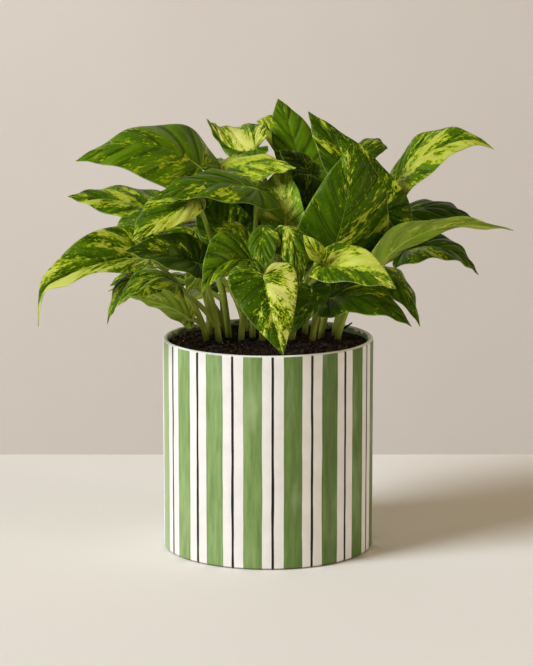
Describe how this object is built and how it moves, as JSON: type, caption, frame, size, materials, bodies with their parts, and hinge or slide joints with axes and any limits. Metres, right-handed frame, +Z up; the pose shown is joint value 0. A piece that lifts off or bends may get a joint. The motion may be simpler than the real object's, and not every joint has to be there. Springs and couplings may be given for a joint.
{
  "type": "potted money plant",
  "caption": "Leafy golden pothos with heart-shaped variegated leaves on upright stems, standing in soil in a striped cylindrical ceramic pot.",
  "frame": {"origin": "centre of the pot's flat foot, on the surface it stands on", "axes": "+Z up, along the pot's axis; -Y towards the front that the picture shows; +X to its right"},
  "size_m": [0.3321, 0.2383, 0.3142],
  "materials": {
    "glaze": "white glaze with hand-painted sage green stripes and thin dark lines",
    "soil": "dark crumbly potting soil with a few pale grains",
    "leaf": "waxy green leaf with yellow and cream variegation, pale green stems"
  },
  "bodies": {
    "root": {"pot": "glaze", "soil": "soil", "stem_left_outer": "leaf", "stem_left_front": "leaf", "stem_left_middle": "leaf", "stem_left_back": "leaf", "stem_front_left": "leaf", "stem_centre_left": "leaf", "stem_centre": "leaf", "stem_centre_back": "leaf", "stem_front_right": "leaf", "stem_right_front": "leaf", "stem_right_middle": "leaf", "stem_right_outer": "leaf", "stem_right_back": "leaf", "stem_top": "leaf", "stem_top_right": "leaf", "stem_back_left": "leaf", "stem_back_middle_left": "leaf", "stem_back_middle": "leaf", "stem_back_middle_right": "leaf", "stem_back_right": "leaf"}
  },
  "joints": []
}
